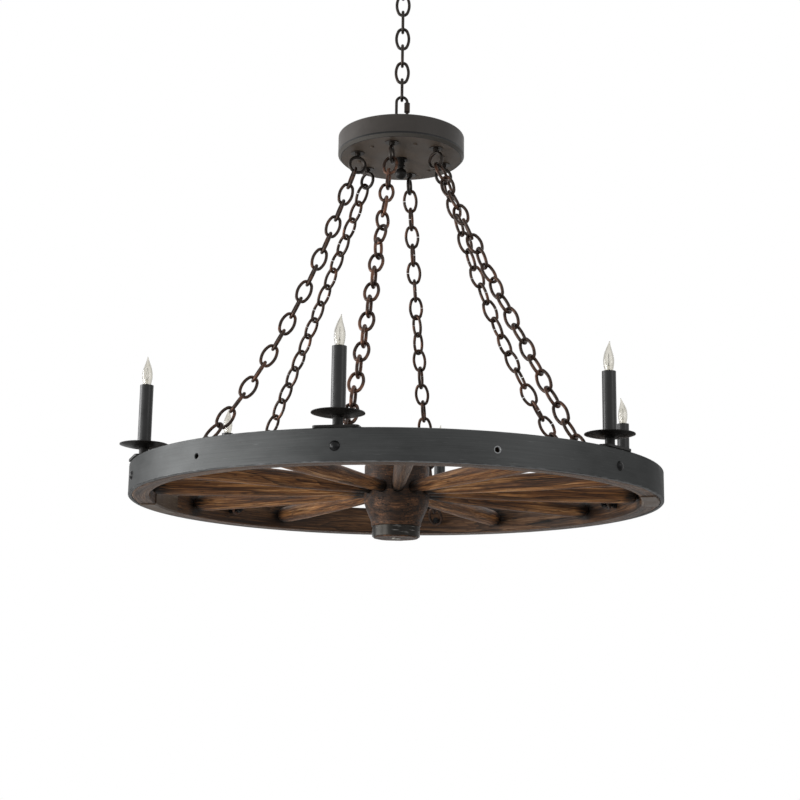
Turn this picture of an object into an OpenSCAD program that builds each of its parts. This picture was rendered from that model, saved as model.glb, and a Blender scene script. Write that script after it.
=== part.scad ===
// Wagon wheel chandelier: a wooden wheel with a steel tyre hangs on six stay
// chains from a drum canopy, and the canopy hangs on one chain of links.
// Millimetres, +Z up. The origin is where the ceiling hook bears in the top link.
// Bearings are seen from above, from the front (-Y), growing towards +X.

/* [Wheel] */
// Outside diameter of the steel tyre
wheel_d = 1220; // [1100:10:1300]
// Height of the rim, which is the width of the tyre
rim_h = 67; // [60:1:76]
// Thickness of the tyre
tyre_t = 8; // [6:0.5:10]
// Radial depth of the wooden felloes
felloe_depth = 39; // [34:1:46]
// Wear round on the edges of the rim
rim_chamfer = 1.5; // [1:0.25:2.5]
// Number of spokes
spoke_count = 12; // [10:2:14]
// Bearing of the first spoke, degrees
spoke_turn = 2.2; // [0:0.1:4]
// Spoke diameter where it leaves the hub
spoke_hub_d = 25; // [20:0.5:28]
// Spoke diameter at its thick end, near the rim
spoke_rim_d = 40; // [34:0.5:44]
// Diameter of the round tongue at each end of a spoke
tongue_d = 20; // [14:0.5:20]
// Bare length of tongue between a spoke's shoulder and the felloe
tongue_bare = 14; // [8:1:24]
// How deep a tongue goes into the felloe and the hub
tongue_depth = 20; // [12:1:26]

/* [Hub] */
// Diameter of the hub at the spokes
hub_d = 152; // [140:1:170]
// Diameter of the hub's narrow nose, above its iron band
nose_d = 115; // [104:1:124]
// How far the nose reaches below the rim
nose_drop = 78; // [66:1:90]
// How far the barrel reaches above the rim
barrel_rise = 50; // [40:1:64]
// Height of each iron band
band_h = 24; // [18:1:30]
// Thickness of each iron band
band_t = 3; // [2:0.25:4]
// Outside diameter of the steel bush in the hub
bush_d = 20; // [14:1:26]
// Wall of that bush
bush_wall = 3.5; // [2:0.25:4.5]

/* [Felloe joint] */
// Bearing of the joint between the two felloes, degrees
clip_turn = -101.5; // [-104:0.5:-99]
// Length of the steel clip over a felloe joint, along the rim
clip_len = 146; // [110:2:160]
// Thickness of the clip's sheet
clip_t = 2; // [1.5:0.25:3]

/* [Chain] */
// Clear length inside a chain link
link_inner = 45; // [42:0.5:48]
// Outside width of a chain link
link_w = 38; // [35:0.5:40]
// Diameter of the link wire
link_wire = 7.5; // [6:0.25:8]
// Open slit where the bent link's ends meet
link_slit = 1.2; // [0.6:0.1:2]
// Clearance between two links that carry each other
link_gap = 0.3; // [0.2:0.05:0.4]
// Links in each stay chain, an even number
stay_links = 20; // [18:2:22]
// Sag of the slackest stay chain at its middle
stay_sag = 60; // [20:1:70]

/* [Canopy] */
// Diameter of the canopy drum
canopy_d = 305; // [290:1:330]
// Height of the drum's band
canopy_band = 46; // [38:1:56]
// Height of the bevelled rim of the cover under it
cover_drop = 8.5; // [6:0.5:11]
// Thickness of the cover and of the ring that backs it
cover_t = 3; // [2:0.25:4]
// Sheet thickness of the drum
sheet_t = 1.5; // [1:0.25:2.5]
// Radius at which the six eyes hang
eye_r = 110; // [100:1:116]
// Outside diameter of an eye
eye_d = 45.5; // [42:0.5:50]
// Diameter of an eye's wire, and of its shank
eye_wire = 7.5; // [6.5:0.25:8]
// Diameter of the washer above and below the cover at an eye
eye_washer_d = 32; // [26:1:36]
// Radius at which the cover's screws sit
screw_r = 104; // [98:1:112]
// Head diameter of those screws
screw_head_d = 9; // [7:0.5:11]
// Diameter of the stem through the canopy
stem_d = 10; // [8:0.5:12]
// Ball of the finial
finial_ball_d = 28.5; // [24:0.5:32]
// Height of the finial, from the cover to the foot of its ball
finial_h = 52; // [44:1:60]

/* [Quick link] */
// Wire of the screw link above the canopy
quick_wire = 7; // [6:0.25:8]
// Clear length inside it
quick_inner = 60; // [56:1:66]
// Clear width inside it
quick_w = 19; // [18:0.5:22]
// Length of its nut
quick_nut_h = 25; // [23:0.5:26]
// Diameter of its nut
quick_nut_d = 14; // [12:0.5:15]
// Loop on the canopy: radius of its wire's middle
loop_r = 16; // [14:0.5:18]
// Loop on the canopy: wire
loop_wire = 8; // [7:0.25:9]
// Loop on the canopy: height of its foot
loop_foot = 14; // [12:0.5:18]

/* [Bolts] */
// Diameter of the six bolts through the rim that hold the stay chains
bolt_d = 8; // [6:0.5:9]
// Diameter of their domed heads
bolt_head_d = 21; // [18:0.5:24]
// How far the bolts reach inside the felloe
bolt_reach = 40; // [38:0.5:46]
// Distance from the felloe to the link that hangs on a bolt
stay_standoff = 18; // [16:0.5:19]
// Diameter of the six empty bolt holes
spare_hole_d = 10; // [6:0.5:11]
// Height of the bolts and empty holes above the wheel's underside
bolt_level = 31; // [29:0.5:35]

/* [Candles] */
// Number of candles, with one stay chain each
candle_count = 6; // [6]
// Bearing of the first candle, degrees
candle_turn = -71.4; // [-73:0.2:-70]
// Length of the flat plate under a candle, along the rim
plate_len = 93; // [84:1:100]
// Width of that plate, across the rim
plate_w = 52; // [46:1:58]
// Thickness of that plate
plate_t = 4.8; // [3:0.2:6]
// Height of the neck between plate and pan
neck_h = 20.5; // [16:0.5:26]
// Diameter of the neck
neck_d = 21; // [18:0.5:24]
// Diameter of the drip pan
pan_d = 107; // [96:1:116]
// Depth of the drip pan
pan_depth = 8.5; // [6:0.5:11]
// Sheet thickness of the drip pan
pan_t = 1.6; // [1:0.1:2]
// Diameter of the candle sleeve
sleeve_d = 29.6; // [28:0.2:32]
// Wall of the candle sleeve
sleeve_wall = 1.5; // [1:0.1:1.8]
// Length of the candle sleeve
sleeve_len = 139; // [120:1:150]
// Largest diameter of the bulb
bulb_d = 24; // [21:0.2:24]
// Length of glass that shows above the sleeve
bulb_show = 66; // [58:1:74]
// Diameter of the bulb's metal cap
cap_d = 11.9; // [11.5:0.1:12.5]
// Running clearance round the cap in its socket, and at the quick link's nut
slip = 0.08; // [0.05:0.01:0.1]

/* [Hidden] */
$fn = 48;

// ---- Fits and small hardware ----
fit_gap = 0.1;      // round parts of one assembly that slide together
seat_gap = 0.2;     // a loose piece above what it rests on
nut_share = 0.8;    // height of a hex nut as a share of its thread
nut_corner = 0.95;  // corner radius of a hex nut as a share of its thread
washer_t = 1.6;
small_screw_d = 4;
edge_r = 4;         // round on the drum's top edge
far = 1000;         // longer than any cut

// ---- Chain link, an oval of four tangent arcs ----
link_a = link_inner / 2 + link_wire / 2;           // centre to wire middle, along
link_b = (link_w - link_wire) / 2;                 // centre to wire middle, across
link_end_r = link_b * 0.8;                         // tight arcs at the two ends
link_side_r = (link_a * link_a + link_b * link_b - 2 * link_a * link_end_r)
  / (2 * (link_b - link_end_r));                   // wide arcs along the two sides
link_side_angle = asin((link_a - link_end_r) / (link_side_r - link_end_r));
link_lap = 1.2;                                    // how far the sides run into the ends
link_thinning = 0.25;                              // wire lost along the sides in bending
link_pitch = link_inner - link_gap;

// ---- Levels of the hanging chain, down from the hook ----
hang_links = 7;
hang_z = [for (i = [0:hang_links - 1]) -link_inner / 2 - i * link_pitch];
quick_top = hang_z[hang_links - 1] - link_a + (link_wire + quick_wire) / 2 + link_gap;
quick_z = quick_top - (quick_inner + quick_wire) / 2;
quick_bottom = quick_top - quick_inner - quick_wire;
loop_top = quick_bottom + (quick_wire + loop_wire) / 2 + link_gap;
loop_z = loop_top - loop_r;
canopy_top = loop_z - loop_r - loop_foot;
quick_x = (quick_w + quick_wire) / 2;              // centre to leg of the screw link
quick_leg = quick_inner - quick_w;                 // straight length of a leg
quick_nut_rest = quick_leg / 2 - quick_nut_h / 2 - 2; // nut's middle above the link's
quick_slit = 8;                                    // gap in the leg, inside the nut
quick_slit_z = quick_leg / 2 - 5 - quick_slit / 2;

// ---- Levels of the canopy ----
pan_bottom = canopy_top - canopy_band;
cover_bottom = pan_bottom - cover_drop;
cover_top = cover_bottom + cover_t;
ring_top = cover_top + cover_t;
nut_h = eye_wire * nut_share;
eye_mid_r = (eye_d - eye_wire) / 2;
eye_z = cover_bottom - washer_t - nut_h - eye_d / 2;
stem_nut_h = stem_d * nut_share;
stem_below = 14;                                   // thread that the finial screws on

// ---- Stay chains: from the eyes to the bolts in the rim ----
rim_r = wheel_d / 2;
felloe_out = rim_r - tyre_t;
felloe_in = felloe_out - felloe_depth;
stay_hook = bolt_level - (bolt_d + link_wire) / 2 - link_gap; // last link's wire
stay_foot_r = felloe_in - stay_standoff;           // radius at which it hangs on a bolt
stay_head = eye_mid_r - (eye_wire + link_wire) / 2 - link_gap; // first link's wire in an eye
stay_full = stay_links * (link_inner + link_wire)
  - (stay_links - 1) * (link_wire + link_gap);     // length of a pulled chain
stay_chord = stay_full - 8 * pow(stay_sag, 2) / (3 * stay_full);
stay_run = stay_foot_r - eye_r;
stay_drop = sqrt(pow(stay_chord + stay_head, 2) - pow(stay_run, 2));
stay_lean = atan(stay_run / stay_drop);            // chord's lean from the vertical
wheel_z = eye_z - stay_drop - stay_hook;           // underside of the wheel

// How slack each stay hangs, and between which links it takes its quarter turn
stay_slack = [1, 0.3, 0.15, 1, 1, 0.15];
turn_from = [14, 0, 0, 7, 3, 14];
turn_to = [19, 8, 10, 15, 11, 19];

// ---- Levels of the wheel and its candles ----
bolt_z = wheel_z + bolt_level;
spoke_z = wheel_z + rim_h / 2;
rim_top = wheel_z + rim_h;
candle_r = (felloe_in + rim_r) / 2;
plate_top = rim_top + plate_t;
pan_z = plate_top + neck_h;                        // underside of the drip pan
sleeve_z = pan_z + pan_t + seat_gap;
sleeve_top = sleeve_z + sleeve_len;
plate_corner = plate_w * 0.19;                     // round at the plate's corners
plate_screw_y = plate_len / 2 - plate_corner * 1.2; // middle of the plate to a screw
nipple_d = 10;
nipple_nut_h = 6;
nipple_nut_r = 8;
nipple_bottom = rim_top - nipple_nut_h - 2;
socket_len = 56;
socket_d = sleeve_d - 2 * sleeve_wall - 2 * fit_gap - 1;
socket_top = sleeve_top - 1;
socket_z = socket_top - socket_len;
nipple_top = socket_z + 6;
cap_len = 18;
cap_z = socket_top - cap_len;
glass_t = 0.7;
neck_in = 4;                                       // glass that starts inside the socket

// ---- Levels of the hub ----
hub_r = hub_d / 2;
nose_r = nose_d / 2;
nose_z = wheel_z - nose_drop;
barrel_z = rim_top + barrel_rise;
barrel_r = hub_r - 1;
hub_lip = 3;                                       // wood that shows past each band
nose_seat_r = nose_r - 2.5;                        // outside of the nose's band
barrel_seat_r = barrel_r - 2;                      // outside of the barrel's band

function bearing(first, count, i) = first + i * 360 / count - 90;
function candle_bearing(i) = bearing(candle_turn, candle_count, i);
function spoke_bearing(i) = bearing(spoke_turn, spoke_count, i);
function smooth(t) = let (u = min(1, max(0, t))) u * u * (3 - 2 * u);
// Points of an arc about c from angle a0 to a1, in n steps
function arc(c, r, a0, a1, n) =
  [for (k = [0:n]) c + r * [cos(a0 + (a1 - a0) * k / n), sin(a0 + (a1 - a0) * k / n)]];

// Copies of a piece drawn along +X, one at each candle
module at_candles() {
  for (i = [0:candle_count - 1]) rotate([0, 0, candle_bearing(i)]) children();
}

// One hexagonal nut with its bore, standing on z = 0
module hex_nut(thread, height) {
  difference() {
    cylinder(r = thread * nut_corner, h = height, $fn = 6);
    translate([0, 0, -1]) cylinder(d = thread + 2 * fit_gap, h = height + 2);
  }
}

// A washer standing on z = 0
module washer(thread, outer, height) {
  difference() {
    cylinder(d = outer, h = height);
    translate([0, 0, -1]) cylinder(d = thread + 2 * fit_gap, h = height + 2);
  }
}

// A length of round wire bent to an arc in the XZ plane, about the origin
module bent_wire(r, wire, from, to) {
  rotate([90, 0, 0]) rotate([0, 0, from])
    rotate_extrude(angle = to - from) translate([r, 0]) circle(d = wire);
}

// ---- Chain link: long way along Z, in the XZ plane, its slit on the +X side ----
// The sides are a shade thinner than the ends and run into them.
module link() {
  half = link_side_angle;
  lap = link_lap / link_side_r * 180 / PI;
  slit = asin(link_slit / 2 / link_side_r);
  thin = link_wire - link_thinning;
  for (s = [0, 180]) rotate([0, s, 0]) translate([0, 0, link_a - link_end_r])
    bent_wire(link_end_r, link_wire, half, 180 - half);
  translate([link_side_r - link_b, 0, 0])
    bent_wire(link_side_r, thin, 180 - half - lap, 180 + half + lap);
  translate([link_b - link_side_r, 0, 0]) {
    bent_wire(link_side_r, thin, slit, half + lap);
    bent_wire(link_side_r, thin, -half - lap, -slit);
  }
}

// ---- Hanging chain ----
module hanging_link(i) {
  color("#2b241f") translate([0, 0, hang_z[i]]) rotate([0, 0, 90 * (i + 1)]) link();
}

// ---- Screw link, with its threaded leg on the +X side ----
module quick_link() {
  color("#37322d") translate([0, 0, quick_z]) {
    for (s = [0, 180]) rotate([0, s, 0]) translate([0, 0, quick_leg / 2])
      bent_wire(quick_x, quick_wire, 0, 180);
    translate([-quick_x, 0, -quick_leg / 2]) cylinder(d = quick_wire, h = quick_leg);
    translate([quick_x, 0, -quick_leg / 2])
      cylinder(d = quick_wire, h = quick_leg / 2 + quick_slit_z - quick_slit / 2);
    translate([quick_x, 0, quick_slit_z + quick_slit / 2])
      cylinder(d = quick_wire, h = quick_leg / 2 - quick_slit_z - quick_slit / 2);
  }
}

module quick_link_nut() {
  color("#3d3832") translate([quick_x, 0, quick_z + quick_nut_rest - quick_nut_h / 2])
    difference() {
      union() {
        cylinder(d1 = quick_nut_d - 2, d2 = quick_nut_d, h = 1);
        translate([0, 0, 1]) cylinder(d = quick_nut_d, h = quick_nut_h - 2);
        translate([0, 0, quick_nut_h - 1])
          cylinder(d1 = quick_nut_d, d2 = quick_nut_d - 2, h = 1);
      }
      translate([0, 0, -1]) cylinder(d = quick_wire + 2 * slip, h = quick_nut_h + 2);
    }
}

// ---- Canopy ----
module canopy_loop() {
  foot_d = stem_d + 14;
  color("#2f2b27") difference() {
    union() {
      translate([0, 0, loop_z]) rotate([0, 0, 90]) bent_wire(loop_r, loop_wire, 0, 360);
      translate([0, 0, canopy_top]) cylinder(d = foot_d, h = loop_foot * 0.55);
      translate([0, 0, canopy_top + loop_foot * 0.55])
        cylinder(d1 = foot_d, d2 = loop_wire + 4, h = loop_foot * 0.45);
    }
    translate([0, 0, canopy_top - 1]) cylinder(d = stem_d + 2 * fit_gap, h = loop_foot * 0.6 + 1);
  }
}

module canopy_stem() {
  bottom = cover_bottom - stem_below;
  color("#6b665e") translate([0, 0, bottom])
    cylinder(d = stem_d, h = canopy_top + loop_foot * 0.55 - bottom);
}

// Washers and nuts that clamp the drum under the loop and the cover on the stem
module stem_nuts() {
  color("#6b665e") {
    translate([0, 0, canopy_top - sheet_t - washer_t]) washer(stem_d, stem_d * 2.4, washer_t);
    translate([0, 0, canopy_top - sheet_t - washer_t - stem_nut_h]) hex_nut(stem_d, stem_nut_h);
    translate([0, 0, cover_top]) washer(stem_d, stem_d * 2.4, washer_t);
    translate([0, 0, cover_top + washer_t]) hex_nut(stem_d, stem_nut_h);
  }
}

module canopy_pan() {
  r = canopy_d / 2;
  bore = stem_d / 2 + fit_gap;
  outside = concat([[bore, canopy_band]],
    arc([r - edge_r, canopy_band - edge_r], edge_r, 90, 0, 6), [[r, 0]]);
  inside = concat([[r - sheet_t, 0]],
    arc([r - edge_r, canopy_band - edge_r], edge_r - sheet_t, 0, 90, 6),
    [[bore, canopy_band - sheet_t]]);
  color("#3a3734") translate([0, 0, pan_bottom])
    rotate_extrude($fn = 96) polygon(concat(outside, inside));
}

// Cover with a bevelled rim and a low wall that fits inside the drum
module canopy_cover() {
  r = canopy_d / 2;
  wall_r = r - sheet_t - fit_gap;
  bevel = cover_drop * 0.7;
  color("#41382f") difference() {
    translate([0, 0, cover_bottom]) rotate_extrude($fn = 96) polygon([
      [0, 0], [r - bevel, 0], [r, bevel], [r, cover_drop], [wall_r, cover_drop],
      [wall_r, cover_drop + 6], [wall_r - sheet_t, cover_drop + 6],
      [wall_r - sheet_t, cover_t + 2], [wall_r - sheet_t - 2, cover_t], [0, cover_t]
    ]);
    cover_holes();
  }
}

// Holes through the cover and the ring behind it
module cover_holes() {
  translate([0, 0, cover_bottom - 1]) {
    cylinder(d = stem_d + 2 * fit_gap, h = 3 * cover_t + 2);
    at_candles() translate([eye_r, 0, 0]) cylinder(d = eye_wire + 2 * fit_gap, h = 3 * cover_t + 2);
    at_screws() cylinder(d = small_screw_d + 2 * fit_gap, h = 3 * cover_t + 2);
  }
}

module at_screws() {
  rotate([0, 0, 180 / candle_count]) at_candles() translate([screw_r, 0, 0]) children();
}

// Steel ring inside the canopy that spreads the pull of the eyes
module backing_ring() {
  color("#55504a") difference() {
    translate([0, 0, cover_top]) difference() {
      cylinder(r = eye_r + 20, h = cover_t, $fn = 96);
      translate([0, 0, -1]) cylinder(r = screw_r - 20, h = cover_t + 2, $fn = 96);
    }
    cover_holes();
  }
}

module canopy_screws() {
  color("#2a2622") at_screws() {
    translate([0, 0, cover_bottom - 1.2]) cylinder(d = screw_head_d, h = 1.2);
    translate([0, 0, cover_bottom - 2.6])
      cylinder(d1 = screw_head_d * 0.55, d2 = screw_head_d, h = 1.4);
    translate([0, 0, cover_bottom]) cylinder(d = small_screw_d, h = 12);
  }
}

// Eye bolts: each ring stands in a plane through the canopy's axis
module canopy_eyes() {
  color("#2d2823") at_candles() translate([eye_r, 0, eye_z]) {
    bent_wire(eye_mid_r, eye_wire, 0, 360);
    translate([0, 0, eye_mid_r])
      cylinder(d = eye_wire, h = ring_top + washer_t + nut_h + 3 - eye_z - eye_mid_r);
  }
}

module eye_nuts() {
  color("#2d2823") at_candles() translate([eye_r, 0, 0]) {
    translate([0, 0, cover_bottom - washer_t - nut_h]) hex_nut(eye_wire, nut_h);
    translate([0, 0, cover_bottom - washer_t]) washer(eye_wire, eye_washer_d, washer_t);
    translate([0, 0, ring_top]) washer(eye_wire, eye_washer_d, washer_t);
    translate([0, 0, ring_top + washer_t]) hex_nut(eye_wire, nut_h);
  }
}

// Turned finial: a collar, a stepped neck and a ball, screwed on the stem
module finial() {
  ball_r = finial_ball_d / 2;
  ball_z = cover_bottom - finial_h + ball_r;
  // Radius and height of each step, as shares of the ball's radius, then the thin neck
  turned = [[1.05, 0.28], [0.67, 0.35], [0.56, 0.56], [0.7, 0.21]] * ball_r;
  neck = finial_h - finial_ball_d - 1.4 * ball_r;
  steps = concat(turned, [[ball_r * 0.46, neck]]);
  function below(i) = i == 0 ? 0 : below(i - 1) + steps[i - 1][1];
  color("#1d1b1a") difference() {
    union() {
      for (i = [0:len(steps) - 1])
        translate([0, 0, cover_bottom - below(i) - steps[i][1]])
          cylinder(r = steps[i][0], h = steps[i][1]);
      translate([0, 0, ball_z]) cylinder(r = steps[4][0], h = ball_r);
      translate([0, 0, ball_z]) sphere(r = ball_r);
    }
    translate([0, 0, cover_bottom - stem_below - 2])
      cylinder(d = stem_d + 2 * fit_gap, h = stem_below + 3);
  }
}

// ---- Stay chains ----
function sinh(x) = (exp(x) - exp(-x)) / 2;
function asinh(x) = ln(x + sqrt(x * x + 1));

// The u for which sinh(u) / u is the given ratio, by halving the span around it
function slack_u(ratio, low = 0.001, high = 3, steps = 40) =
  let (mid = (low + high) / 2)
  steps == 0 ? mid
    : sinh(mid) / mid < ratio ? slack_u(ratio, mid, high, steps - 1)
    : slack_u(ratio, low, mid, steps - 1);

// A stay hangs in a catenary between its first and last wire: nearly straight at
// the top, bending outward at its foot. A taut one has fully pulled links.
module stay_chain(k) {
  span = stay_chord * sin(stay_lean);
  rise = stay_chord * cos(stay_lean);
  length = stay_chord + pow(stay_slack[k], 2) * (stay_full - stay_chord);
  half_u = slack_u(sqrt(length * length - rise * rise) / span);
  curve_a = span / (2 * half_u);                   // the catenary's parameter
  foot_x = curve_a * ln((length + rise) / (length - rise)) / 2 - span / 2;
  foot_t = curve_a * sinh(foot_x / curve_a);       // curve length from its lowest point
  foot = [stay_foot_r, wheel_z + stay_hook];
  pitch = (length - 2 * link_a) / (stay_links - 1);
  color("#3a2c23") rotate([0, 0, candle_bearing(k)]) for (i = [0:stay_links - 1]) {
    t = foot_t + length - link_a - i * pitch;
    out = foot[0] + foot_x - curve_a * asinh(t / curve_a);
    up = foot[1] + sqrt(pow(curve_a, 2) + t * t) - sqrt(pow(curve_a, 2) + foot_t * foot_t);
    quarter = 90 * smooth((i - turn_from[k]) / (turn_to[k] - turn_from[k]));
    translate([out, 0, up]) rotate([0, -atan(curve_a / t), 0])
      rotate([0, 0, 90 * (i + 1) + quarter]) link();
  }
}

// ---- Wheel ----
module rim_profile(r_in, r_out, cut_in, cut_out) {
  polygon([
    [r_in + cut_in, 0], [r_out - cut_out, 0], [r_out, cut_out], [r_out, rim_h - cut_out],
    [r_out - cut_out, rim_h], [r_in + cut_in, rim_h], [r_in, rim_h - cut_in], [r_in, cut_in]
  ]);
}

// Round holes through the rim along +X, at bolt height
module rim_hole(d, from, length) {
  translate([from, 0, bolt_z]) rotate([0, 90, 0]) cylinder(d = d, h = length);
}

module tyre() {
  color("#5b6167") difference() {
    translate([0, 0, wheel_z]) rotate_extrude($fn = 180)
      rim_profile(felloe_out, rim_r, 0.2, rim_chamfer);
    at_candles() rim_hole(bolt_d + 2 * fit_gap, felloe_out - 5, tyre_t + 10);
    rotate([0, 0, 180 / candle_count]) at_candles() {
      rim_hole(spare_hole_d, felloe_out - 5, tyre_t + 10);
      translate([rim_r - 1.2, 0, bolt_z]) rotate([0, 90, 0])
        cylinder(d1 = spare_hole_d, d2 = spare_hole_d + 4.4, h = 2.2);
    }
  }
}

// One of the two bent felloes, half of the wooden rim
module felloe(turn) {
  joint_gap = 0.02;                                // degrees left open at each joint
  difference() {
    rotate([0, 0, turn - 90]) translate([0, 0, wheel_z])
      rotate([0, 0, joint_gap]) rotate_extrude(angle = 180 - 2 * joint_gap, $fn = 180)
        rim_profile(felloe_in, felloe_out - fit_gap, 2 * rim_chamfer, 0.2);
    for (i = [0:spoke_count - 1]) rotate([0, 0, spoke_bearing(i)])
      translate([felloe_in - 5, 0, spoke_z]) rotate([0, 90, 0])
        cylinder(d = tongue_d + 2 * fit_gap, h = tongue_depth + 5 + fit_gap);
    at_candles() {
      rim_hole(bolt_d + 2 * fit_gap, felloe_in - 5, felloe_depth + 10);
      translate([candle_r, 0, nipple_bottom - 1]) cylinder(r = nipple_nut_r + 1, h = rim_h);
      for (s = [-1, 1]) translate([candle_r, s * plate_screw_y, rim_top - 30])
        cylinder(d = small_screw_d + 2 * fit_gap, h = rim_h);
    }
    rotate([0, 0, 180 / candle_count]) at_candles()
      rim_hole(spare_hole_d, felloe_out - 18, 30);
  }
}

module felloe_front() {
  color("#6b4a30") felloe(clip_turn);
}

module felloe_back() {
  color("#6b4a30") felloe(clip_turn + 180);
}

// Folded steel clips that wrap the felloes where these meet
module felloe_clips() {
  span = clip_len / felloe_in * 180 / PI;
  reach = felloe_depth - 3;
  color("#8a8178") for (s = [0, 180])
    rotate([0, 0, clip_turn - 90 + s - span / 2]) translate([0, 0, wheel_z])
      rotate_extrude(angle = span, $fn = 180) translate([felloe_in, 0]) polygon([
        [reach, 0], [2 * rim_chamfer, 0], [0, 2 * rim_chamfer], [0, rim_h - 2 * rim_chamfer],
        [2 * rim_chamfer, rim_h], [reach, rim_h], [reach, rim_h + clip_t],
        [rim_chamfer, rim_h + clip_t], [-clip_t, rim_h - rim_chamfer],
        [-clip_t, rim_chamfer], [rim_chamfer, -clip_t], [reach, -clip_t]
      ]);
}

// Shaved spoke, turned about +X: slim at the hub, thick and round-shouldered outside
module spoke() {
  start = hub_r - 3;
  shoulder = felloe_in - tongue_bare;
  hub_end_r = spoke_hub_d / 2;
  rim_end_r = spoke_rim_d / 2;
  round_r = 7;
  tongue_r = tongue_d / 2;
  belly = [for (k = [0:5]) let (t = k / 5)
    [hub_end_r + (rim_end_r - hub_end_r) * pow(sin(90 * t), 0.6),
     start + (shoulder - round_r - start) * t]];
  profile = concat(
    [[0, start - tongue_depth], [tongue_r * 0.8, start - tongue_depth], [tongue_r * 0.8, start]],
    belly, arc([rim_end_r - round_r, shoulder - round_r], round_r, 15, 90, 5),
    [[tongue_r, shoulder], [tongue_r, felloe_in + tongue_depth], [0, felloe_in + tongue_depth]]);
  rotate([0, 90, 0]) rotate_extrude() polygon(profile);
}

module spokes() {
  color("#7a5233") for (i = [0:spoke_count - 1])
    rotate([0, 0, spoke_bearing(i)]) translate([0, 0, spoke_z]) spoke();
}

// Turned hub: a straight barrel above the spokes, a waisted nose below them
module hub() {
  round_r = 14;
  waist = wheel_z - nose_drop + hub_lip + band_h + 12;
  shoulder_z = wheel_z + 2 + round_r;
  nose_in = nose_seat_r - band_t;
  barrel_in = barrel_seat_r - band_t;
  profile = concat(
    [[0, nose_z], [nose_in - 2, nose_z], [nose_in, nose_z + 2], [nose_in, nose_z + hub_lip + band_h],
     [nose_r - 1, nose_z + hub_lip + band_h], [nose_r, nose_z + hub_lip + band_h + 1], [nose_r, waist]],
    arc([hub_r - round_r, shoulder_z], round_r, -35, 0, 5),
    [[hub_r, rim_top - 4], [barrel_r, rim_top], [barrel_r, barrel_z - hub_lip - band_h - 1],
     [barrel_r - 1, barrel_z - hub_lip - band_h], [barrel_in, barrel_z - hub_lip - band_h],
     [barrel_in, barrel_z - 2], [barrel_in - 2, barrel_z], [0, barrel_z]]);
  color("#4d3322") difference() {
    rotate_extrude($fn = 96) polygon(profile);
    translate([0, 0, nose_z - 1]) cylinder(d = bush_d + 2 * fit_gap, h = far);
    for (i = [0:spoke_count - 1]) rotate([0, 0, spoke_bearing(i)]) translate([0, 0, spoke_z])
      rotate([0, 90, 0]) {
        translate([0, 0, hub_r - 3 - tongue_depth - fit_gap])
          cylinder(d = tongue_d * 0.8 + 2 * fit_gap, h = tongue_depth + 10);
        translate([0, 0, hub_r - 3 - fit_gap])
          cylinder(d1 = spoke_hub_d + 2 * fit_gap, d2 = spoke_hub_d + 1, h = 8);
      }
  }
}

module hub_bands() {
  color("#54575a") for (b = [[nose_seat_r, nose_z + hub_lip], [barrel_seat_r, barrel_z - hub_lip - band_h]])
    translate([0, 0, b[1]]) rotate_extrude($fn = 96) polygon([
      [b[0] - band_t + fit_gap, 0.1], [b[0] - 0.6, 0.1], [b[0], 0.7],
      [b[0], band_h - 0.7], [b[0] - 0.6, band_h - 0.1], [b[0] - band_t + fit_gap, band_h - 0.1]
    ]);
}

module axle_bush() {
  color("#8d8d8b") translate([0, 0, nose_z - 1]) difference() {
    cylinder(d = bush_d, h = barrel_z - nose_z + 2);
    translate([0, 0, -1]) cylinder(d = bush_d - 2 * bush_wall, h = far);
  }
}

// ---- Bolts through the rim: domed heads outside, the last links hang inside ----
module tyre_bolts() {
  head_h = bolt_head_d * 0.3;
  dome_r = (pow(bolt_head_d / 2, 2) + head_h * head_h) / (2 * head_h);
  dome_angle = asin(bolt_head_d / 2 / dome_r);
  color("#26262a") at_candles() translate([0, 0, bolt_z]) rotate([0, 90, 0]) {
    translate([0, 0, felloe_in - bolt_reach])
      cylinder(d = bolt_d, h = rim_r - felloe_in + bolt_reach);
    translate([0, 0, rim_r + head_h - dome_r]) rotate_extrude() polygon(concat(
      [[0, dome_r - head_h]], arc([0, 0], dome_r, 90 - dome_angle, 90, 6)));
  }
}

module bolt_nuts() {
  nut = bolt_d * nut_share;
  seat = felloe_in - bolt_reach + 4;
  inner_face = sqrt(pow(felloe_in, 2) - pow(bolt_d, 2)) - 0.02; // a flat washer in the bent felloe
  color("#1f1e1f") at_candles() translate([0, 0, bolt_z]) rotate([0, 90, 0]) {
    translate([0, 0, seat]) hex_nut(bolt_d, nut);
    translate([0, 0, seat + nut]) washer(bolt_d, 2 * bolt_d, washer_t);
    translate([0, 0, inner_face - washer_t - nut]) hex_nut(bolt_d, nut);
    translate([0, 0, inner_face - washer_t]) washer(bolt_d, 2 * bolt_d, washer_t);
  }
}

// ---- Candles ----
module candle_plates() {
  color("#1b1a1b") at_candles() translate([candle_r, 0, rim_top]) difference() {
    linear_extrude(plate_t) union() {
      square([plate_w, plate_len - 2 * plate_corner], center = true);
      square([plate_w - 2 * plate_corner, plate_len], center = true);
      for (x = [-1, 1], y = [-1, 1])
        translate([x * (plate_w / 2 - plate_corner), y * (plate_len / 2 - plate_corner)])
          circle(r = plate_corner);
    }
    translate([0, 0, -1]) cylinder(d = nipple_d + 2 * fit_gap, h = plate_t + 2);
    for (s = [-1, 1]) translate([0, s * plate_screw_y, -1])
      cylinder(d = small_screw_d + 2 * fit_gap, h = plate_t + 2);
  }
}

module plate_screws() {
  color("#222120") at_candles() for (s = [-1, 1])
    translate([candle_r, s * plate_screw_y, 0]) {
      translate([0, 0, rim_top - 26]) cylinder(d = small_screw_d, h = 26 + plate_t);
      translate([0, 0, plate_top]) cylinder(d1 = 9, d2 = 5, h = 2.4);
    }
}

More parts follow.
